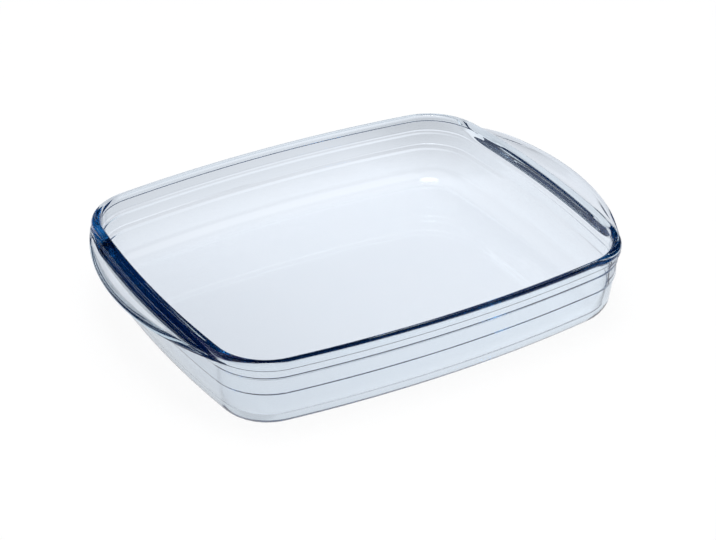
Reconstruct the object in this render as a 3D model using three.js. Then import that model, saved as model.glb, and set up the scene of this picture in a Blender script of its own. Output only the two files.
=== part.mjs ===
// Glass baking dish: one pressing of clear glass, made here as the zones of its form.
// Millimetres, +Z up. The origin is the middle of the underside, and X is the long way.

import * as THREE from 'three';

// Plan of the rim's outer edge: four bowed sides joined by round corners.
const RIM_LENGTH = 303.6;
const RIM_BREADTH = 252.4;
const LONG_SIDE_RADIUS = 856;
const SHORT_SIDE_RADIUS = 736;
const CORNER_RADIUS = 40.8;

// Heights, from the top of the rim down to the table.
const HEIGHT = 52.3;
const RIM_DEPTH = 5.6;
const UPPER_BAND_DEPTH = 7.1;
const MIDDLE_BAND_DEPTH = 10.6;

// Section of the wall: the rim stands out over the bands, and each band steps in under the last.
const WALL_THICKNESS = 4.7;
const RIM_OVERHANG = 1.7;
const RIM_TOP_ROUND = 2.4;
const RIM_LOWER_ROUND = 0.9;
const STEP_LEDGE = 0.8;
const WALL_DRAFT = THREE.MathUtils.degToRad(7.5);

// Floor and the bend that joins it to the wall.
const FLOOR_THICKNESS = 4.8;
const HEEL_RADIUS = 14;
const INNER_HEEL_RADIUS = 9.3;

// Wing handles at both short sides: a dished tongue with a thick round edge.
const HANDLE_REACH = 18.2;
const HANDLE_EDGE_THICKNESS = 4.5;
const HANDLE_EDGE_DEPTH = 4.3;
const HANDLE_ROOT_THICKNESS = 5.2;
const HANDLE_ROOT_FILLET = 6;
const HANDLE_TIP_THICKNESS = 1.2;
const HANDLE_GROOVE_SHARE = 0.2;

// Facets along each stretch of the plan and each round of the section.
const HALF_LONG_SIDE_STEPS = 4;
const HALF_SHORT_SIDE_STEPS = 8;
const CORNER_STEPS = 8;
const HEEL_STEPS = 5;
const RIM_ROUND_STEPS = 3;
const HANDLE_EDGE_STEPS = 6;
const HANDLE_UNDERSIDE_STEPS = 4;
const SHORTEST_FACET = 0.1;

// Levels of the step lines, and how far each outer face lies in from the rim's outer edge.
const upperStepLevel = HEIGHT - RIM_DEPTH;
const middleStepLevel = upperStepLevel - UPPER_BAND_DEPTH;
const lowerStepLevel = middleStepLevel - MIDDLE_BAND_DEPTH;
const upperBandInset = RIM_OVERHANG;
const middleBandInset = upperBandInset + STEP_LEDGE;
const lowerWallInset = middleBandInset + STEP_LEDGE;
const rimWidth = RIM_OVERHANG + WALL_THICKNESS;

// One of the two points that lie at given distances from two centres: the one out towards the corner.
function meetingPoint(centreA, distanceA, centreB, distanceB) {
  const gap = centreB.clone().sub(centreA);
  const span = gap.length();
  const along = (distanceA ** 2 - distanceB ** 2 + span ** 2) / (2 * span);
  const across = Math.sqrt(distanceA ** 2 - along ** 2);
  gap.divideScalar(span);
  const sideways = new THREE.Vector2(gap.y, -gap.x);
  if (sideways.x < 0) sideways.negate();
  return centreA.clone().addScaledVector(gap, along).addScaledVector(sideways, across);
}

// Stations of an arc of the plan, leaving out its end, where the next arc starts.
function arcStations(centre, radius, from, to, steps) {
  return Array.from({ length: steps }, (_, step) => ({
    centre,
    radius,
    angle: THREE.MathUtils.lerp(from, to, step / steps),
  }));
}

// Centres of the far long side, the right short side and the corner between them, which touches both.
const farCentre = new THREE.Vector2(0, RIM_BREADTH / 2 - LONG_SIDE_RADIUS);
const rightCentre = new THREE.Vector2(RIM_LENGTH / 2 - SHORT_SIDE_RADIUS, 0);
const cornerCentre = meetingPoint(
  farCentre,
  LONG_SIDE_RADIUS - CORNER_RADIUS,
  rightCentre,
  SHORT_SIDE_RADIUS - CORNER_RADIUS,
);

// Stations all round the plan, anticlockwise from the middle of the near long side.
function planStations() {
  const cornerStart = cornerCentre.clone().sub(rightCentre).angle();
  const cornerEnd = cornerCentre.clone().sub(farCentre).angle();
  const quarter = [
    ...arcStations(rightCentre, SHORT_SIDE_RADIUS, 0, cornerStart, HALF_SHORT_SIDE_STEPS),
    ...arcStations(cornerCentre, CORNER_RADIUS, cornerStart, cornerEnd, CORNER_STEPS),
    ...arcStations(farCentre, LONG_SIDE_RADIUS, cornerEnd, Math.PI / 2, HALF_LONG_SIDE_STEPS),
    { centre: farCentre, radius: LONG_SIDE_RADIUS, angle: Math.PI / 2 },
  ];
  const mirror = ({ centre, radius, angle }) => ({
    centre: new THREE.Vector2(centre.x, -centre.y),
    radius,
    angle: -angle,
  });
  const halfTurn = ({ centre, radius, angle }) => ({
    centre: centre.clone().negate(),
    radius,
    angle: angle + Math.PI,
  });
  const rightHalf = [...quarter.slice(1).map(mirror).reverse(), ...quarter.slice(0, -1)];
  return [...rightHalf, ...rightHalf.map(halfTurn)];
}

const stations = planStations();

function outward(station) {
  return new THREE.Vector2(Math.cos(station.angle), Math.sin(station.angle));
}

// The plan point of a station, moved in from the rim's outer edge.
function planPoint(station, inset) {
  return outward(station).multiplyScalar(station.radius - inset).add(station.centre);
}

function place(station, inset, level) {
  const point = planPoint(station, inset);
  return new THREE.Vector3(point.x, point.y, level);
}

// Skin over sections that all have as many points, each anticlockwise as seen against the way round.
function loft(sections, isRing) {
  const size = sections[0].length;
  const positions = sections.flat().flatMap((point) => point.toArray());
  const faces = [];
  const spans = isRing ? sections.length : sections.length - 1;
  for (let span = 0; span < spans; span += 1) {
    const here = span * size;
    const next = ((span + 1) % sections.length) * size;
    for (let k = 0; k < size; k += 1) {
      const after = (k + 1) % size;
      faces.push(here + k, next + k, next + after);
      faces.push(here + k, next + after, here + after);
    }
  }
  const geometry = new THREE.BufferGeometry();
  geometry.setAttribute('position', new THREE.Float32BufferAttribute(positions, 3));
  geometry.setIndex(faces);
  return geometry;
}

// Ring of the wall: a closed section carried round the plan, x its inset and y its level.
// An inset counts inwards, so the section's order is reversed to face the skin out.
function wallRing(section) {
  const points = section.toReversed();
  return loft(stations.map((station) => points.map((p) => place(station, p.x, p.y))), true);
}

function round(centre, radius, from, to, steps) {
  return new THREE.EllipseCurve(centre.x, centre.y, radius, radius, from, to, to < from).getPoints(steps);
}

// Band with upright faces between two levels.
function bandSection(inset, bottom, top) {
  return [
    new THREE.Vector2(inset + WALL_THICKNESS, bottom),
    new THREE.Vector2(inset + WALL_THICKNESS, top),
    new THREE.Vector2(inset, top),
    new THREE.Vector2(inset, bottom),
  ];
}

// The rim's section: a flat foot on the upper band, and round edges.
function rimSection() {
  const innerRound = new THREE.Vector2(rimWidth - RIM_TOP_ROUND, HEIGHT - RIM_TOP_ROUND);
  const outerRound = new THREE.Vector2(RIM_TOP_ROUND, HEIGHT - RIM_TOP_ROUND);
  const lowerRound = new THREE.Vector2(RIM_LOWER_ROUND, upperStepLevel + RIM_LOWER_ROUND);
  return [
    new THREE.Vector2(rimWidth, upperStepLevel),
    ...round(innerRound, RIM_TOP_ROUND, 0, Math.PI / 2, RIM_ROUND_STEPS),
    ...round(outerRound, RIM_TOP_ROUND, Math.PI / 2, Math.PI, RIM_ROUND_STEPS),
    ...round(lowerRound, RIM_LOWER_ROUND, Math.PI, 1.5 * Math.PI, RIM_ROUND_STEPS),
  ];
}

// Inset of the sloping wall's face at a level, from its inset at the lower step.
function slopedInset(insetAtStep, level) {
  return insetAtStep + (lowerStepLevel - level) * Math.tan(WALL_DRAFT);
}

// Centre of the bend that touches a floor level and a sloping face.
function bend(insetAtStep, floorLevel, radius) {
  const level = floorLevel + radius;
  const inset = slopedInset(insetAtStep, level) + radius / Math.cos(WALL_DRAFT);
  return new THREE.Vector2(inset, level);
}

const innerWallInset = lowerWallInset + WALL_THICKNESS / Math.cos(WALL_DRAFT);
const outerBend = bend(lowerWallInset, 0, HEEL_RADIUS);
const innerBend = bend(innerWallInset, FLOOR_THICKNESS, INNER_HEEL_RADIUS);
const baseInset = Math.max(outerBend.x, innerBend.x);
const heelTop = Math.max(outerBend.y, innerBend.y);

function lowerWallSection() {
  return [
    new THREE.Vector2(slopedInset(innerWallInset, heelTop), heelTop),
    new THREE.Vector2(innerWallInset, lowerStepLevel),
    new THREE.Vector2(lowerWallInset, lowerStepLevel),
    new THREE.Vector2(slopedInset(lowerWallInset, heelTop), heelTop),
  ];
}

// The heel's section: both bends, run on flat to the base's edge and straight to the wall.
function heelSection() {
  const wallSide = Math.PI + WALL_DRAFT;
  const down = 1.5 * Math.PI;
  const points = [
    new THREE.Vector2(baseInset, 0),
    new THREE.Vector2(baseInset, FLOOR_THICKNESS),
    ...round(innerBend, INNER_HEEL_RADIUS, down, wallSide, HEEL_STEPS),
    new THREE.Vector2(slopedInset(innerWallInset, heelTop), heelTop),
    new THREE.Vector2(slopedInset(lowerWallInset, heelTop), heelTop),
    ...round(outerBend, HEEL_RADIUS, wallSide, down, HEEL_STEPS),
  ];
  return points.filter((point, k) => point.distanceTo(points.at(k - 1)) > SHORTEST_FACET);
}

function baseGeometry() {
  const outline = new THREE.Shape(stations.map((station) => planPoint(station, baseInset)));
  return new THREE.ExtrudeGeometry(outline, { depth: FLOOR_THICKNESS, bevelEnabled: false });
}

// The handle's edge in plan is one arc about a point on the X axis. It touches the rim's corner arcs,
// where the handle runs out.
const handleEnd = RIM_LENGTH / 2 + HANDLE_REACH;
const cornerGap = handleEnd - CORNER_RADIUS;
const handleMiddle = (cornerGap ** 2 - cornerCentre.lengthSq()) / (2 * (cornerGap - cornerCentre.x));
const handleEdgeRadius = handleEnd - handleMiddle;
const handleTip = cornerCentre.clone().sub(new THREE.Vector2(handleMiddle, 0)).normalize();

// How far a handle's edge lies out from the upper band at a station of its side.
function handleReach(station, side) {
  const offset = planPoint(station, upperBandInset).sub(new THREE.Vector2(side * handleMiddle, 0));
  const along = offset.dot(outward(station));
  return Math.sqrt(along ** 2 - offset.lengthSq() + handleEdgeRadius ** 2) - along;
}

// Radius of the handle's round edge. Towards the handle's two ends it thins out, and leaves a share of
// the handle's width free as a groove beside the rim.
function handleEdgeRound(reach) {
  const room = (reach - RIM_OVERHANG) * (1 - HANDLE_GROOVE_SHARE);
  return Math.min(HANDLE_EDGE_THICKNESS, room) / 2;
}

// Section of a handle, x its distance out from the upper band: under the rim, over the round edge and back.
function handleSection(reach) {
  const edgeRound = handleEdgeRound(reach);
  const edge = new THREE.Vector2(reach - edgeRound, HEIGHT - HANDLE_EDGE_DEPTH);
  const rootBottom = new THREE.Vector2(0, upperStepLevel - HANDLE_ROOT_THICKNESS);
  const edgeBottom = new THREE.Vector2(edge.x, edge.y - edgeRound);
  const underBend = new THREE.Vector2(Math.min(HANDLE_ROOT_FILLET, edge.x / 2), edgeBottom.y);
  const underside = new THREE.QuadraticBezierCurve(rootBottom, underBend, edgeBottom);
  return [
    new THREE.Vector2(0, upperStepLevel),
    ...underside.getPoints(HANDLE_UNDERSIDE_STEPS),
    ...round(edge, edgeRound, -Math.PI / 2, Math.PI, HANDLE_EDGE_STEPS).slice(1),
    new THREE.Vector2(RIM_OVERHANG, upperStepLevel),
  ];
}

function handleGeometry(side) {
  const span = stations
    .filter((station) => side * outward(station).x > handleTip.x)
    .map((station) => ({ station, reach: handleReach(station, side) }))
    .filter(({ reach }) => 2 * handleEdgeRound(reach) > HANDLE_TIP_THICKNESS);
  const profiles = span.map(({ reach }) => handleSection(reach));
  const sections = span.map(({ station }, k) =>
    profiles[k].map((p) => place(station, upperBandInset - p.x, p.y)),
  );
  const geometry = loft(sections, false);
  const faces = [...geometry.index.array];
  const lastStart = (sections.length - 1) * sections[0].length;
  for (const [a, b, c] of THREE.ShapeUtils.triangulateShape(profiles[0], [])) {
    faces.push(a, b, c);
  }
  for (const [a, b, c] of THREE.ShapeUtils.triangulateShape(profiles.at(-1), [])) {
    faces.push(lastStart + a, lastStart + c, lastStart + b);
  }
  geometry.setIndex(faces);
  return geometry;
}

function glass(colour) {
  return new THREE.MeshStandardMaterial({
    color: colour,
    roughness: 0.05,
    metalness: 0,
    transparent: true,
    opacity: 0.4,
  });
}

const dish = new THREE.Group();

function addZone(name, geometry, colour) {
  geometry.computeVertexNormals();
  const mesh = new THREE.Mesh(geometry, glass(colour));
  mesh.name = name;
  dish.add(mesh);
}

const middleBand = bandSection(middleBandInset, lowerStepLevel, middleStepLevel);
const upperBand = bandSection(upperBandInset, middleStepLevel, upperStepLevel);

addZone('base', baseGeometry(), 0xe6edf5);
addZone('heel', wallRing(heelSection()), 0xd3dbe6);
addZone('lower_wall', wallRing(lowerWallSection()), 0xdde4ee);
addZone('middle_band', wallRing(middleBand), 0xdde4ee);
addZone('upper_band', wallRing(upperBand), 0xd8e1ec);
addZone('rim', wallRing(rimSection()), 0x9fb0c6);
addZone('left_handle', handleGeometry(-1), 0xb9c9db);
addZone('right_handle', handleGeometry(1), 0xb9c9db);

export default dish;
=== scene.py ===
"""Glass baking dish: one pressing of clear, faintly blue glass, on a pale floor that is plain to the camera
and carries painted shade where the glass shows it.
"""

from math import atan2, cos, hypot, pi, radians, sin, sqrt, tan

import bmesh
import bpy
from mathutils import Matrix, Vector


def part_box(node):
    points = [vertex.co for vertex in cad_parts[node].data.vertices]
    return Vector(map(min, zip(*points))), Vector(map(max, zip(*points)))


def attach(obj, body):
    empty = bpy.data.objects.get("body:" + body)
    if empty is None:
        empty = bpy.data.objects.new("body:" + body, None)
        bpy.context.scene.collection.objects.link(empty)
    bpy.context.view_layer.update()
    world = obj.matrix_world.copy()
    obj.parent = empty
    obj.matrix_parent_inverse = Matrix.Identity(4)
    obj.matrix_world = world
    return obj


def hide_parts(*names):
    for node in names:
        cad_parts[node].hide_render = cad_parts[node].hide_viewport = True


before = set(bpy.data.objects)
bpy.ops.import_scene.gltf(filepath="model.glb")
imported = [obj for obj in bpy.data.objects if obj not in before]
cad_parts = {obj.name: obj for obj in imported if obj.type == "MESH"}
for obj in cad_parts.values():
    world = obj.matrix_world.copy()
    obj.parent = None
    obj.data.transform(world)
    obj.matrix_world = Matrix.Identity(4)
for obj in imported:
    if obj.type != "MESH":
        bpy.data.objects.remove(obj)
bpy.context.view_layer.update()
MM = 0.001

# Plan of the rim's outer edge: bowed sides and round corners.
LONG_SIDE_RADIUS = 856 * MM
SHORT_SIDE_RADIUS = 736 * MM
CORNER_RADIUS = 40.8 * MM
rim_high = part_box("rim")[1]
HALF_LENGTH = rim_high[0]
HALF_BREADTH = rim_high[1]
HEIGHT = rim_high[2]

# Levels and faces of the wall, from the frame's zones: a face's place is counted out from the rim's edge.
UPPER_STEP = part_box("upper_band")[1][2]
MIDDLE_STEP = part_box("middle_band")[1][2]
LOWER_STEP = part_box("lower_wall")[1][2]
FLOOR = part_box("base")[1][2]
UPPER_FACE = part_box("upper_band")[1][0] - HALF_LENGTH
MIDDLE_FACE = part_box("middle_band")[1][0] - HALF_LENGTH
LOWER_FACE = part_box("lower_wall")[1][0] - HALF_LENGTH
HANDLE_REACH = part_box("right_handle")[1][0] - HALF_LENGTH

# Section of the glass.
WALL = 4.7 * MM
DRAFT_DEGREES = 7.5
WALL_DRAFT = radians(DRAFT_DEGREES)
RIM_INNER_ROUND = 2.4 * MM
RIM_OUTER_ROUND = 3.3 * MM
RIM_LOWER_ROUND = 0.4 * MM
RIM_LOWER_FILLET = 0.3 * MM
STEP_ROUND = 0.35 * MM
STEP_FILLET = 0.3 * MM
FLAT_MARGIN = 0.25 * MM
STEP_MARGIN = 1.2 * FLAT_MARGIN
INNER_STEP_HEIGHT = 1.7 * MM
INNER_STEP_LEVELS = (26.7 * MM, 38.8 * MM)
SHORT_SIDE_DEPTH = 0.3
HEEL_RADIUS = 14 * MM
INNER_HEEL_RADIUS = 9.3 * MM
FLOOR_EDGE = -30 * MM

# Handles: the rim's flank above them, the crease, the dished top, the round edge and the root under them.
FLANK_START = -1.84 * MM
FLANK_ROUND = 2.1 * MM
FLANK_DEGREES = 40
FLANK_FOOT = HEIGHT - 3.3 * MM
CREASE = 1.1 * MM
HANDLE_DISH = HEIGHT - 5.7 * MM
TIP_DISH = HEIGHT - 3.2 * MM
HANDLE_EDGE = HEIGHT - 4.1 * MM
HANDLE_EDGE_ROUND = 2.05 * MM
HANDLE_EDGE_DEGREES = 95
HANDLE_ROOT = HEIGHT - 9.85 * MM
HANDLE_ROOT_BOTTOM = HEIGHT - 11.8 * MM
HANDLE_ROOT_FILLET = 3.1 * MM
HANDLE_FULL_REACH = 12 * MM
HANDLE_DISH_START = 4 * MM

# How far the bows of the handle's section are drawn along their end tangents.
FLANK_PULL = 0.3 * CREASE
CREASE_PULL = 0.6 * CREASE
TOP_PULL = 4 * MM
TOP_LIFT = 0.3 * MM
UNDER_PULL = 5 * MM
UNDER_DROP = 1.1 * MM
ROOT_PULL = 3 * MM
ROOT_LIFT = 0.5 * MM
FILLET_SHARE = 0.45
FILLET_DROP = 0.25 * MM

# The glass: waves of the pressing, tints of clear and streaky places, index, absorption and bounces.
WAVE_SCALE = 40
WAVE_STRENGTH = 0.04
WAVE_HEIGHT = MM
STREAK_TINT = (0.985, 0.995, 1, 1)
CLEAR_TINT = (1, 1, 1, 1)
GLASS_INDEX = 1.474
ABSORPTION_COLOUR = (0.0, 0.54, 0.8, 1)
ABSORPTION_DENSITY = 10
LIGHT_BOUNCES = 64

# Painted shade on the table, seen only through the glass: darker behind the far wall, beyond the right wall
# and handle, and towards the near side. Each pair is a distance in metres from a centre, and a tone.
FAR_BANDS = ((0.835, 1), (0.848, 0.91), (0.88, 0.83), (0.92, 0.67), (0.95, 0.62), (1, 0.85))
RIGHT_WALL = ((0.70, 1), (0.73, 0.93), (0.765, 0.82), (0.785, 0.8))
RIGHT_HANDLE = ((0.80, 0.9), (0.9, 0.95))
RIGHT_BANDS = RIGHT_WALL + RIGHT_HANDLE
NEAR_EDGE = LONG_SIDE_RADIUS
NEAR_BANDS = ((0.6, 0.96), (0.65, 0.925), (0.69, 0.9), (0.73, 0.885), (0.77, 0.875), (0.83, 0.865))

# Painted shadows on the table, met only by light turned back inside the glass, with a painted light gap just
# beyond the near edge: the deep ones take two turns.
NEAR_HEEL = ((NEAR_EDGE - 30 * MM, 1), (NEAR_EDGE - 24 * MM, 0.87), (NEAR_EDGE - 8 * MM, 0.87))
NEAR_SHADOW = ((NEAR_EDGE - 7 * MM, 0.01), (NEAR_EDGE - MM, 0.01))
NEAR_DEEP_SHADOW = ((NEAR_EDGE - 15 * MM, 1), (NEAR_EDGE - 14 * MM, 0.01), (NEAR_EDGE - MM, 0.01))
NEAR_GAP = ((NEAR_EDGE + 0.5 * MM, 1), (NEAR_EDGE + 3 * MM, 1), (NEAR_EDGE + 5 * MM, 0.01))
LEFT_EDGE = SHORT_SIDE_RADIUS
LEFT_HEEL = ((LEFT_EDGE - 30 * MM, 1), (LEFT_EDGE - 24 * MM, 0.84), (LEFT_EDGE - 2.5 * MM, 0.84))
LEFT_SHADOW = ((LEFT_EDGE - 0.5 * MM, 0.02),)
LEFT_DEEP_SHADOW = ((LEFT_EDGE - 32 * MM, 1), (LEFT_EDGE - 30 * MM, 0.02))
LEFT_REACH_MIDDLE = (-0.35, -0.05, 0)
LEFT_REACH = ((0.42, 0), (0.47, 1))
CORNER_SHADE_MIDDLE = (-0.135, 0.18, 0)
CORNER_SHADE = ((0.04, 0.05), (0.05, 1))
RIGHT_SHADE_MIDDLE = (0.42, 0.27, 0)
RIGHT_SHADE = ((0.2, 0.05), (0.23, 1))

# Painted shade on the table, darker to the left and lighter to the right, and its tints: after three turns
# all of it is painted dark blue shade.
SLOPE_MIDDLE = (-0.5, 0, 0)
SLOPE = ((0.36, 0.81), (0.4, 0.855), (0.47, 0.927), (0.52, 0.96), (0.58, 0.99), (0.64, 1))
TABLE_TINT = (0.907, 0.936, 1)
SHADOW_TINT = (0.004, 0.022, 0.08)
MANY_TURNS_PAINTED_SHADE = (0.02, 0.06, 0.16)
TABLE_GLOW = 1.25
TABLE_WHITE_SHARE = 0.93
TABLE_RADIUS = 1.25
TABLE_SIDES = 96
TABLE_DROP = 0.3 * MM
TABLE_COLOUR = (0.95, 0.95, 0.95, 1)
ONE_TURN = 1
TWO_TURNS = 2
THREE_TURNS = 3
HALF_TURN = 0.5

# Three soft lights, a dim room and a lamp: each pair is how nearly a way points at the light, and its tone.
OVERHEAD_WAY = (0, 0, 1)
OVERHEAD_BANDS = ((0.972, 0), (0.99, 1))
OVERHEAD_STRENGTH = 6
SOFTBOX_WAY = (-0.504, -0.353, 0.788)
SOFTBOX_BANDS = ((0.72, 0), (0.88, 1))
SOFTBOX_STRENGTH = 0.6
FILL_WAY = (0.383, -0.663, 0.643)
FILL_BANDS = ((0.85, 0), (0.95, 1))
FILL_STRENGTH = 0.8
ROOM_COLOUR = (0.006, 0.02, 0.06, 1)
LAMP_HEIGHT = 2
LAMP_SIZE = 1.6
LAMP_POWER = 30

# Steps of the section's rounds and bows. The wall's strip and the handle's strip need as many points each.
INNER_HEEL_STEPS = 22
HEEL_STEPS = 26
INNER_STEP_STEPS = 10
STEP_STEPS = 4
INNER_ROUND_STEPS = 10
ROUND_STEPS = 16
FACE_STEPS = 20
LOWER_ROUND_STEPS = 10
LOWER_FILLET_STEPS = 4
BAND_STEPS = 14
CREASE_STEPS = 8
TOP_STEPS = 8
EDGE_STEPS = 16
UNDERSIDE_STEPS = 8
ROOT_STEPS = 6

# Points closer than these are one point, across the mirror and after it.
MIRROR_MERGE = 0.01 * MM
POINT_MERGE = 0.001 * MM

# Steps of the plan's arcs.
SHORT_SIDE_STEPS = 40
CORNER_STEPS = 36
LONG_SIDE_STEPS = 24

# Camera, at the photo's angle.
CAMERA_PLACE = (-639.7 * MM, -1099 * MM, 788.2 * MM)
CAMERA_AZIMUTH_DEGREES = -30.31
CAMERA_ELEVATION_DEGREES = 31.17
CAMERA_LENS = 113.714
CAMERA_SENSOR = 36


def mix(a, b, share):
    return a + (b - a) * share


def line(start, end, steps):
    """Points from start up to, and without, end."""
    return [(mix(start[0], end[0], k / steps), mix(start[1], end[1], k / steps)) for k in range(steps)]


def flat(start, end):
    """Two points near the ends of a flat face, which keep its shading flat between two rounds."""
    length = hypot(end[0] - start[0], end[1] - start[1])
    near, far = FLAT_MARGIN / length, 1 - FLAT_MARGIN / length
    return [(mix(start[0], end[0], share), mix(start[1], end[1], share)) for share in (near, far)]


def joined(*runs):
    """Runs of points one after another, with a flat face from each one to the next."""
    points = list(runs[0])
    for run in runs[1:]:
        points += flat(points[-1], run[0]) + list(run)
    return points


def arc(centre, radius, start, end, steps):
    """Points on a round of the section, with both ends; angles in degrees, 0 pointing out and 90 up."""
    angles = [radians(mix(start, end, k / steps)) for k in range(steps + 1)]
    return [(centre[0] + radius * cos(a), centre[1] + radius * sin(a)) for a in angles]


def bow(start, pull_a, pull_b, end, steps):
    """Points on a smooth bow between two ends, drawn towards two pulls."""
    points = []
    for k in range(steps + 1):
        t = k / steps
        s = 1 - t
        weights = (s ** 3, 3 * s * s * t, 3 * s * t * t, t ** 3)
        ends = (start, pull_a, pull_b, end)
        points.append(tuple(sum(w * p[i] for w, p in zip(weights, ends)) for i in (0, 1)))
    return points


def sloped(face, level):
    """Place of the sloping lower wall's face at a level."""
    return face - (LOWER_STEP - level) * tan(WALL_DRAFT)


def heel(face, floor, radius):
    """Centre of the bend that touches a floor and a sloping face."""
    level = floor + radius
    return (sloped(face, level) - radius / cos(WALL_DRAFT), level)


def outer_step(face, next_face, level):
    """A step line: the band's round lower edge, a slope of 45 degrees and the fillet under it."""
    drop = face - next_face + (STEP_ROUND + STEP_FILLET) * tan(pi / 8)
    edge = (face - STEP_ROUND, level + drop / 2)
    fillet = (next_face + STEP_FILLET, level - drop / 2)
    return arc(edge, STEP_ROUND, 0, -45, STEP_STEPS) + arc(fillet, STEP_FILLET, 135, 180, STEP_STEPS)


def inner_step(bottom, face, next_face, level):
    """The soft swell inside the wall behind a step line, from the lower face up to the next."""
    top = (next_face, level + INNER_STEP_HEIGHT / 2)
    return bow(bottom, (face, level), (next_face, level), top, INNER_STEP_STEPS)


def inside_of_section():
    """From the floor up the inside of the wall to the top of the rim."""
    face = LOWER_FACE - WALL / cos(WALL_DRAFT)
    middle = MIDDLE_FACE - WALL
    upper = UPPER_FACE - WALL
    low, high = INNER_STEP_LEVELS
    low_start = low - INNER_STEP_HEIGHT / 2
    high_start = high - INNER_STEP_HEIGHT / 2
    low_face = sloped(face, low)
    return joined(
        [(FLOOR_EDGE, FLOOR)],
        arc(heel(face, FLOOR, INNER_HEEL_RADIUS), INNER_HEEL_RADIUS, -90, -DRAFT_DEGREES, INNER_HEEL_STEPS),
        inner_step((sloped(face, low_start), low_start), low_face, middle, low),
        inner_step((middle, high_start), middle, upper, high),
        arc((upper + RIM_INNER_ROUND, HEIGHT - RIM_INNER_ROUND), RIM_INNER_ROUND, 180, 90, INNER_ROUND_STEPS),
    )


def wall_strip():
    """The outside from the rim's flat top down to the upper band, where there is no handle."""
    lower = (-RIM_LOWER_ROUND, UPPER_STEP + RIM_LOWER_ROUND)
    fillet = (UPPER_FACE + RIM_LOWER_FILLET, UPPER_STEP - RIM_LOWER_FILLET)
    top = arc((-RIM_OUTER_ROUND, HEIGHT - RIM_OUTER_ROUND), RIM_OUTER_ROUND, 90, 0, ROUND_STEPS)
    return (
        top
        + line(top[-1], (0, lower[1]), FACE_STEPS)[1:]
        + arc(lower, RIM_LOWER_ROUND, 0, -90, LOWER_ROUND_STEPS)
        + arc(fillet, RIM_LOWER_FILLET, 90, 180, LOWER_FILLET_STEPS)
        + line((UPPER_FACE, fillet[1]), (UPPER_FACE, HANDLE_ROOT_BOTTOM), BAND_STEPS)[1:]
        + [(UPPER_FACE, HANDLE_ROOT_BOTTOM)]
    )


def handle_strip(dish):
    """The same stretch over a handle: flank, crease, top dished to a level, edge, underside and root."""
    slope = radians(FLANK_DEGREES)
    rim_round = arc((FLANK_START, HEIGHT - FLANK_ROUND), FLANK_ROUND, 90, 90 - FLANK_DEGREES, ROUND_STEPS)
    flank_foot = (rim_round[-1][0] + (rim_round[-1][1] - FLANK_FOOT) / tan(slope), FLANK_FOOT)
    flank_pull = (flank_foot[0] + FLANK_PULL * cos(slope), FLANK_FOOT - FLANK_PULL * sin(slope))
    dish_start = (flank_foot[0] + CREASE, dish)
    crease = bow(flank_foot, flank_pull, (dish_start[0] - CREASE_PULL, dish), dish_start, CREASE_STEPS)
    edge_middle = (HANDLE_REACH - HANDLE_EDGE_ROUND, HANDLE_EDGE)
    edge = arc(edge_middle, HANDLE_EDGE_ROUND, HANDLE_EDGE_DEGREES, -HANDLE_EDGE_DEGREES, EDGE_STEPS)
    top_pull = (edge[0][0] - TOP_PULL, edge[0][1] + TOP_LIFT)
    top = bow(dish_start, (dish_start[0] + TOP_PULL, dish), top_pull, edge[0], TOP_STEPS)
    root = (UPPER_FACE + HANDLE_ROOT_FILLET, HANDLE_ROOT)
    under_pull = (edge[-1][0] - UNDER_PULL, edge[-1][1] - UNDER_DROP)
    under_end = (root[0] + ROOT_PULL, root[1] + ROOT_LIFT)
    underside = bow(edge[-1], under_pull, under_end, root, UNDERSIDE_STEPS)
    foot = (UPPER_FACE, HANDLE_ROOT_BOTTOM)
    root_pull = (UPPER_FACE + FILLET_SHARE * HANDLE_ROOT_FILLET, HANDLE_ROOT - FILLET_DROP)
    foot_pull = (UPPER_FACE, mix(foot[1], root[1], FILLET_SHARE))
    fillet = bow(root, root_pull, foot_pull, foot, ROOT_STEPS)
    flank = flat(rim_round[-1], flank_foot)
    return rim_round + flank + crease + top[1:] + edge[1:] + underside[1:] + fillet[1:]


def outside_below_handle():
    """From the upper band down the outside of the wall to the underside."""
    return joined(
        outer_step(UPPER_FACE, MIDDLE_FACE, MIDDLE_STEP),
        outer_step(MIDDLE_FACE, LOWER_FACE, LOWER_STEP),
        arc(heel(LOWER_FACE, 0, HEEL_RADIUS), HEEL_RADIUS, -DRAFT_DEGREES, -90, HEEL_STEPS),
        [(FLOOR_EDGE, 0)],
    )


def corner_centre():
    """Centre of the corner's arc, which touches the long side's and the short side's arcs."""
    far = Vector((0, HALF_BREADTH - LONG_SIDE_RADIUS))
    right = Vector((HALF_LENGTH - SHORT_SIDE_RADIUS, 0))
    to_far = LONG_SIDE_RADIUS - CORNER_RADIUS
    to_right = SHORT_SIDE_RADIUS - CORNER_RADIUS
    gap = right - far
    span = gap.length
    along = (to_far ** 2 - to_right ** 2 + span ** 2) / (2 * span)
    across = sqrt(to_far ** 2 - along ** 2)
    gap /= span
    return far + gap * along + Vector((gap.y, -gap.x)) * across


CORNER = corner_centre()
SHORT_SIDE_TURN = atan2(CORNER.y, CORNER.x - HALF_LENGTH + SHORT_SIDE_RADIUS)
LONG_SIDE_TURN = atan2(CORNER.x, CORNER.y - HALF_BREADTH + LONG_SIDE_RADIUS)
CORNER_TURN = pi / 2 - SHORT_SIDE_TURN - LONG_SIDE_TURN

# The handle's edge in plan: one arc about a point on the X axis that touches the corner's arc.
HANDLE_END = HALF_LENGTH + HANDLE_REACH
CORNER_GAP = HANDLE_END - CORNER_RADIUS
HANDLE_MIDDLE = (CORNER_GAP ** 2 - CORNER.length_squared) / (2 * (CORNER_GAP - CORNER.x))
HANDLE_RADIUS = HANDLE_END - HANDLE_MIDDLE
HANDLE_TIP_TURN = atan2(CORNER.y, CORNER.x - HANDLE_MIDDLE)


def outward(place):
    """The way out of the plan at a place on the short side or the corner."""
    short_side = Vector((place.x - HALF_LENGTH + SHORT_SIDE_RADIUS, place.y))
    if atan2(short_side.y, short_side.x) <= SHORT_SIDE_TURN:
        return short_side.normalized()
    return (place.xy - CORNER).normalized()


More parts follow.
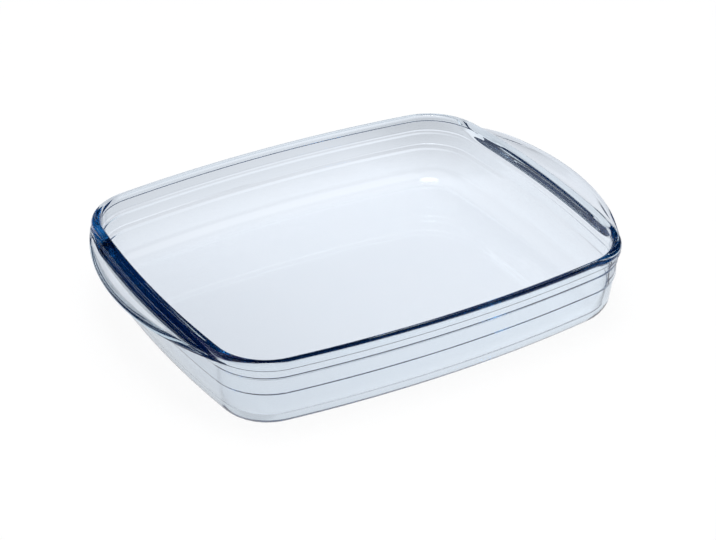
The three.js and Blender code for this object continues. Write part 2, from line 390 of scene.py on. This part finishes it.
def reach_at(rim_edge, way):
    """How far the handle reaches beyond the rim's edge, along the way out."""
    if atan2(way.y, way.x) >= HANDLE_TIP_TURN:
        return 0
    offset = rim_edge - Vector((HANDLE_MIDDLE, 0))
    along = offset.dot(way)
    return sqrt(along ** 2 - offset.length_squared + HANDLE_RADIUS ** 2) - along


def draw_section(points):
    """Draws the section as a chain of edges in the plane through the middle of the right short side."""
    bpy.ops.object.select_all(action="DESELECT")
    start = (HALF_LENGTH + points[0][0], 0, points[0][1])
    bpy.ops.mesh.primitive_plane_add(size=MM, location=(0, 0, 0))
    bpy.ops.object.mode_set(mode="EDIT")
    bpy.ops.mesh.merge(type="CENTER")
    bpy.ops.transform.translate(value=start)
    for here, there in zip(points, points[1:]):
        step = (there[0] - here[0], 0, there[1] - here[1])
        bpy.ops.mesh.extrude_vertices_move(TRANSFORM_OT_translate={"value": step})


def mark_points(mesh, inside, first, count):
    """Numbers the points of both inner steps and of the handle's strip: every copy keeps its number."""
    work = bmesh.from_edit_mesh(mesh)
    work.verts.ensure_lookup_table()
    strip = work.verts.layers.int.new("handle_point")
    step = work.verts.layers.int.new("step_point")
    for k in range(count):
        work.verts[first + k][strip] = k + 1
    span = INNER_STEP_HEIGHT / 2 + STEP_MARGIN
    for k, point in enumerate(inside):
        if min(abs(point[1] - level) for level in INNER_STEP_LEVELS) < span:
            work.verts[k][step] = k + 1
    bmesh.update_edit_mesh(mesh)


def ease_short_sides(mesh, inside):
    """Makes the inner steps shallower on the short sides. They grow to their full depth round the corners."""
    work = bmesh.from_edit_mesh(mesh)
    layer = work.verts.layers.int["step_point"]
    marked = [(vert, inside[vert[layer] - 1]) for vert in work.verts if vert[layer]]
    for level in INNER_STEP_LEVELS:
        run = [(vert, point[0]) for vert, point in marked if abs(point[1] - level) < INNER_STEP_HEIGHT]
        middle = (min(place for vert, place in run) + max(place for vert, place in run)) / 2
        for vert, place in run:
            way = outward(vert.co)
            share = (pi / 2 - LONG_SIDE_TURN - atan2(way.y, way.x)) / CORNER_TURN
            ease = sin(min(1, max(0, share)) * pi / 2) ** 2
            vert.co.xy += way * (middle - place) * (1 - SHORT_SIDE_DEPTH) * ease
    bmesh.update_edit_mesh(mesh)


def sweep_quarter():
    """Spins the section along the half short side, the corner and the half long side."""
    bpy.ops.mesh.select_all(action="SELECT")
    turns = (
        (SHORT_SIDE_STEPS, SHORT_SIDE_TURN, (HALF_LENGTH - SHORT_SIDE_RADIUS, 0, 0)),
        (CORNER_STEPS, CORNER_TURN, (CORNER.x, CORNER.y, 0)),
        (LONG_SIDE_STEPS, LONG_SIDE_TURN, (0, HALF_BREADTH - LONG_SIDE_RADIUS, 0)),
    )
    for steps, angle, centre in turns:
        bpy.ops.mesh.spin(steps=steps, angle=-angle, center=centre, axis=(0, 0, 1))


def pull_handle(mesh, wall, tip, handle):
    """Draws the marked strip out into the handle. The section grows with the reach until it is full."""
    work = bmesh.from_edit_mesh(mesh)
    layer = work.verts.layers.int["handle_point"]
    dish_end = HANDLE_REACH - HANDLE_EDGE_ROUND
    for vert in work.verts:
        k = vert[layer] - 1
        if k < 0:
            continue
        way = outward(vert.co)
        place, level = wall[k]
        rim_edge = vert.co.xy - way * place
        reach = reach_at(rim_edge, way)
        if reach <= 0:
            continue
        size = sin(min(1, reach / HANDLE_FULL_REACH) * pi / 2) ** 2
        full = mix(tip[k][0], handle[k][0], size)
        full_level = mix(tip[k][1], handle[k][1], size)
        edge_share = min(1, max(0, (full - HANDLE_DISH_START) / (dish_end - HANDLE_DISH_START)))
        out = place * (1 - size) + full * size + edge_share * (reach - HANDLE_REACH * size)
        vert.co.xy = rim_edge + way * out
        vert.co.z = mix(level, full_level, size)
    bmesh.update_edit_mesh(mesh)


def mirror_to_whole(dish):
    mirror = dish.modifiers.new("Mirror", "MIRROR")
    mirror.use_axis = (True, True, False)
    mirror.use_mirror_merge = True
    mirror.merge_threshold = MIRROR_MERGE
    bpy.ops.object.modifier_apply(modifier=mirror.name)


def close_floor():
    """Fills the flat middle of the floor's top and underside."""
    bpy.ops.mesh.select_all(action="SELECT")
    bpy.ops.mesh.fill_holes(sides=0)
    bpy.ops.mesh.normals_make_consistent(inside=False)


def pressed_glass():
    """Clear glass, a little wavy from the press, whose faint blue deepens with the way through it."""
    material = bpy.data.materials.new("pressed_glass")
    material.use_nodes = True
    nodes = material.node_tree.nodes
    links = material.node_tree.links
    shader = nodes["Principled BSDF"]
    place = nodes.new("ShaderNodeTexCoord").outputs["Object"]
    waves = nodes.new("ShaderNodeTexNoise")
    waves.inputs["Scale"].default_value = WAVE_SCALE
    waves.inputs["Detail"].default_value = 1
    clarity = nodes.new("ShaderNodeValToRGB")
    clarity.color_ramp.elements[0].color = STREAK_TINT
    clarity.color_ramp.elements[1].color = CLEAR_TINT
    wavy = nodes.new("ShaderNodeBump")
    wavy.inputs["Strength"].default_value = WAVE_STRENGTH
    wavy.inputs["Distance"].default_value = WAVE_HEIGHT
    links.new(place, waves.inputs["Vector"])
    links.new(waves.outputs["Fac"], clarity.inputs["Fac"])
    links.new(waves.outputs["Fac"], wavy.inputs["Height"])
    links.new(clarity.outputs["Color"], shader.inputs["Base Color"])
    links.new(wavy.outputs["Normal"], shader.inputs["Normal"])
    shader.inputs["Roughness"].default_value = 0
    shader.inputs["IOR"].default_value = GLASS_INDEX
    shader.inputs["Transmission Weight"].default_value = 1
    tint = nodes.new("ShaderNodeVolumeAbsorption")
    tint.inputs["Color"].default_value = ABSORPTION_COLOUR
    tint.inputs["Density"].default_value = ABSORPTION_DENSITY
    links.new(tint.outputs["Volume"], nodes["Material Output"].inputs["Volume"])
    return material


def make_dish():
    inside = inside_of_section()
    rim_top = flat((inside[-1][0], HEIGHT), (-RIM_OUTER_ROUND, HEIGHT))
    wall = wall_strip()
    tip = handle_strip(TIP_DISH)
    handle = handle_strip(HANDLE_DISH)
    assert len(wall) == len(handle), (len(wall), len(handle))
    section = inside + rim_top + wall + outside_below_handle()
    draw_section(section)
    dish = bpy.context.object
    dish.name = "dish_glass"
    mark_points(dish.data, inside, len(inside) + len(rim_top), len(wall))
    sweep_quarter()
    ease_short_sides(dish.data, inside)
    pull_handle(dish.data, wall, tip, handle)
    bpy.ops.object.mode_set(mode="OBJECT")
    mirror_to_whole(dish)
    bpy.ops.object.mode_set(mode="EDIT")
    bpy.ops.mesh.select_all(action="SELECT")
    bpy.ops.mesh.remove_doubles(threshold=POINT_MERGE)
    close_floor()
    bpy.ops.object.mode_set(mode="OBJECT")
    bpy.ops.object.shade_smooth()
    dish.data.materials.append(pressed_glass())
    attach(dish, "root")
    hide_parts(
        "base", "heel", "lower_wall", "middle_band", "upper_band", "rim", "left_handle", "right_handle"
    )


def set_stops(ramp, bands):
    """Gives a colour ramp one grey stop for each pair of a place and a tone."""
    stops = ramp.color_ramp.elements
    stops.remove(stops[1])
    for number, (place, tone) in enumerate(bands):
        stop = stops[0] if number == 0 else stops.new(place)
        stop.position = place
        stop.color = (tone, tone, tone, 1)


def tone_by_distance(tree, place, centre, bands):
    """A tone that changes with the distance from a centre on the table."""
    reach = tree.nodes.new("ShaderNodeVectorMath")
    reach.operation = "DISTANCE"
    reach.inputs[1].default_value = centre
    ramp = tree.nodes.new("ShaderNodeValToRGB")
    set_stops(ramp, bands)
    tree.links.new(place, reach.inputs[0])
    tree.links.new(reach.outputs["Value"], ramp.inputs["Fac"])
    return ramp.outputs["Color"]


def combine(tree, operation, tone, other):
    node = tree.nodes.new("ShaderNodeVectorMath")
    node.operation = operation
    tree.links.new(tone, node.inputs[0])
    tree.links.new(other, node.inputs[1])
    return node.outputs["Vector"]


def multiply(tree, tone, other):
    return combine(tree, "MULTIPLY", tone, other)


def lighter(tree, tone, other):
    return combine(tree, "MAXIMUM", tone, other)


def tinted(tree, tone, tint):
    """A painted shade that goes down to a deep blue and not to black."""
    node = tree.nodes.new("ShaderNodeVectorMath")
    node.operation = "MAXIMUM"
    node.inputs[1].default_value = tint
    tree.links.new(tone, node.inputs[0])
    return node.outputs["Vector"]


def fewer(tree, turns, limit):
    """1 for light that was turned back inside the glass fewer times than the limit, 0 for the rest."""
    node = tree.nodes.new("ShaderNodeMath")
    node.operation = "LESS_THAN"
    node.inputs[1].default_value = limit - HALF_TURN
    tree.links.new(turns, node.inputs[0])
    return node.outputs["Value"]


def painted_table_shade(tree, turns):
    """Painted shade on the table through the glass, by zones and from left to right, and painted darker still
    for light that was turned back inside the glass.
    """
    place = tree.nodes.new("ShaderNodeTexCoord").outputs["Object"]
    near_centre = (0, LONG_SIDE_RADIUS - HALF_BREADTH, 0)
    left_centre = (SHORT_SIDE_RADIUS - HALF_LENGTH, 0, 0)
    far_centre = (0, HALF_BREADTH - LONG_SIDE_RADIUS, 0)
    right_centre = (HALF_LENGTH - SHORT_SIDE_RADIUS, 0, 0)
    tone = tone_by_distance(tree, place, far_centre, FAR_BANDS)
    reach = tone_by_distance(tree, place, LEFT_REACH_MIDDLE, LEFT_REACH)
    left = lighter(tree, tone_by_distance(tree, place, left_centre, LEFT_HEEL + LEFT_SHADOW), reach)
    near = tone_by_distance(tree, place, near_centre, NEAR_HEEL + NEAR_SHADOW + NEAR_GAP)
    beyond = tone_by_distance(tree, place, RIGHT_SHADE_MIDDLE, RIGHT_SHADE)
    shadow = multiply(tree, multiply(tree, near, left), beyond)
    deep_left = lighter(tree, tone_by_distance(tree, place, left_centre, LEFT_DEEP_SHADOW), reach)
    deep_near = tone_by_distance(tree, place, near_centre, NEAR_DEEP_SHADOW + NEAR_GAP)
    corner = tone_by_distance(tree, place, CORNER_SHADE_MIDDLE, CORNER_SHADE)
    deep_shadow = multiply(tree, multiply(tree, deep_near, deep_left), corner)
    shadow = tinted(tree, shadow, SHADOW_TINT)
    deep_shadow = tinted(tree, deep_shadow, SHADOW_TINT)
    tone = multiply(tree, tone, lighter(tree, shadow, fewer(tree, turns, ONE_TURN)))
    tone = multiply(tree, tone, lighter(tree, deep_shadow, fewer(tree, turns, TWO_TURNS)))
    # After three turns inside the glass the whole table is painted dark blue shade.
    tone = multiply(tree, tone, tinted(tree, fewer(tree, turns, THREE_TURNS), MANY_TURNS_PAINTED_SHADE))
    tone = multiply(tree, tone, tone_by_distance(tree, place, right_centre, RIGHT_BANDS))
    tone = multiply(tree, tone, tone_by_distance(tree, place, near_centre, NEAR_BANDS))
    tone = multiply(tree, tone, tone_by_distance(tree, place, SLOPE_MIDDLE, SLOPE))
    return tone


def pale_table():
    """White table: plain to the camera with a little of the real shadow, and with painted shade where the
    glass shows it.
    """
    material = bpy.data.materials.new("pale_table")
    material.use_nodes = True
    tree = material.node_tree
    nodes = tree.nodes
    links = tree.links
    lit = nodes["Principled BSDF"]
    lit.inputs["Base Color"].default_value = TABLE_COLOUR
    lit.inputs["Roughness"].default_value = 1
    lit.inputs["Specular IOR Level"].default_value = 0
    light_path = nodes.new("ShaderNodeLightPath")
    tone = painted_table_shade(tree, light_path.outputs["Glossy Depth"])
    tint = nodes.new("ShaderNodeVectorMath")
    tint.operation = "MULTIPLY"
    tint.inputs[1].default_value = TABLE_TINT
    links.new(tone, tint.inputs[0])
    # What the glass shows of the table is an emission carrying the painted shade, not lit by the lamps.
    through_glass = nodes.new("ShaderNodeEmission")
    through_glass.inputs["Strength"].default_value = TABLE_GLOW
    links.new(tint.outputs["Vector"], through_glass.inputs["Color"])
    white = nodes.new("ShaderNodeEmission")
    seen = nodes.new("ShaderNodeMixShader")
    links.new(light_path.outputs["Is Transmission Ray"], seen.inputs["Fac"])
    links.new(white.outputs["Emission"], seen.inputs[1])
    links.new(through_glass.outputs["Emission"], seen.inputs[2])
    white_share = nodes.new("ShaderNodeMath")
    white_share.operation = "MULTIPLY"
    white_share.inputs[1].default_value = TABLE_WHITE_SHARE
    links.new(light_path.outputs["Is Camera Ray"], white_share.inputs[0])
    with_glass = nodes.new("ShaderNodeMath")
    with_glass.operation = "MAXIMUM"
    links.new(white_share.outputs["Value"], with_glass.inputs[0])
    links.new(light_path.outputs["Is Transmission Ray"], with_glass.inputs[1])
    share = nodes.new("ShaderNodeMath")
    share.operation = "MAXIMUM"
    links.new(with_glass.outputs["Value"], share.inputs[0])
    links.new(light_path.outputs["Is Glossy Ray"], share.inputs[1])
    top = nodes.new("ShaderNodeMixShader")
    links.new(share.outputs["Value"], top.inputs["Fac"])
    links.new(lit.outputs["BSDF"], top.inputs[1])
    links.new(seen.outputs["Shader"], top.inputs[2])
    links.new(top.outputs["Shader"], nodes["Material Output"].inputs["Surface"])
    return material


def make_floor():
    bpy.ops.object.select_all(action="DESELECT")
    place = (0, 0, -TABLE_DROP)
    bpy.ops.mesh.primitive_circle_add(
        vertices=TABLE_SIDES, radius=TABLE_RADIUS, fill_type="NGON", location=place
    )
    floor = bpy.context.object
    floor.name = "floor"
    floor.data.materials.append(pale_table())


def make_lamp():
    """A wide lamp above, which lights the table and shows in no mirror."""
    data = bpy.data.lights.new("lamp", "AREA")
    data.shape = "DISK"
    data.size = LAMP_SIZE
    data.energy = LAMP_POWER
    lamp = bpy.data.objects.new("lamp", data)
    lamp.location = (0, 0, LAMP_HEIGHT)
    lamp.visible_glossy = False
    lamp.visible_transmission = False
    bpy.context.collection.objects.link(lamp)


def studio_light(tree, way, middle, bands, strength):
    """A soft round light of the studio, brightest about its middle."""
    toward = tree.nodes.new("ShaderNodeVectorMath")
    toward.operation = "DOT_PRODUCT"
    toward.inputs[1].default_value = middle
    ramp = tree.nodes.new("ShaderNodeValToRGB")
    set_stops(ramp, bands)
    light = tree.nodes.new("ShaderNodeBackground")
    light.inputs["Strength"].default_value = strength
    tree.links.new(way, toward.inputs[0])
    tree.links.new(toward.outputs["Value"], ramp.inputs["Fac"])
    tree.links.new(ramp.outputs["Color"], light.inputs["Color"])
    return light.outputs["Background"]


def make_world():
    """A dim blue room with three soft lights; the camera itself sees white."""
    world = bpy.data.worlds.new("studio")
    bpy.context.scene.world = world
    world.use_nodes = True
    tree = world.node_tree
    nodes = tree.nodes
    links = tree.links
    way = nodes.new("ShaderNodeTexCoord").outputs["Generated"]
    room = nodes.new("ShaderNodeAddShader")
    overhead = studio_light(tree, way, OVERHEAD_WAY, OVERHEAD_BANDS, OVERHEAD_STRENGTH)
    softbox = studio_light(tree, way, SOFTBOX_WAY, SOFTBOX_BANDS, SOFTBOX_STRENGTH)
    fill = studio_light(tree, way, FILL_WAY, FILL_BANDS, FILL_STRENGTH)
    behind = nodes.new("ShaderNodeAddShader")
    links.new(softbox, behind.inputs[0])
    links.new(fill, behind.inputs[1])
    links.new(overhead, room.inputs[0])
    links.new(behind.outputs["Shader"], room.inputs[1])
    dim = nodes.new("ShaderNodeBackground")
    dim.inputs["Color"].default_value = ROOM_COLOUR
    whole = nodes.new("ShaderNodeAddShader")
    links.new(room.outputs["Shader"], whole.inputs[0])
    links.new(dim.outputs["Background"], whole.inputs[1])
    backdrop = nodes["Background"]
    backdrop.inputs["Color"].default_value = (1, 1, 1, 1)
    light_path = nodes.new("ShaderNodeLightPath")
    choice = nodes.new("ShaderNodeMixShader")
    links.new(light_path.outputs["Is Camera Ray"], choice.inputs["Fac"])
    links.new(whole.outputs["Shader"], choice.inputs[1])
    links.new(backdrop.outputs["Background"], choice.inputs[2])
    links.new(choice.outputs["Shader"], nodes["World Output"].inputs["Surface"])


def make_camera():
    azimuth = radians(CAMERA_AZIMUTH_DEGREES)
    elevation = radians(CAMERA_ELEVATION_DEGREES)
    way = Vector((sin(azimuth) * cos(elevation), -cos(azimuth) * cos(elevation), sin(elevation)))
    data = bpy.data.cameras.new("camera")
    data.sensor_fit = "HORIZONTAL"
    data.sensor_width = CAMERA_SENSOR
    data.lens = CAMERA_LENS
    camera = bpy.data.objects.new("camera", data)
    camera.location = CAMERA_PLACE
    camera.rotation_euler = (-way).to_track_quat("-Z", "Y").to_euler()
    bpy.context.collection.objects.link(camera)
    bpy.context.scene.camera = camera


make_camera()
make_dish()
make_floor()
make_lamp()
make_world()
bpy.context.scene.view_settings.view_transform = "Standard"
bpy.context.scene.cycles.max_bounces = LIGHT_BOUNCES
bpy.context.scene.cycles.glossy_bounces = LIGHT_BOUNCES
bpy.context.scene.cycles.transmission_bounces = LIGHT_BOUNCES
bpy.context.scene.cycles.blur_glossy = 0
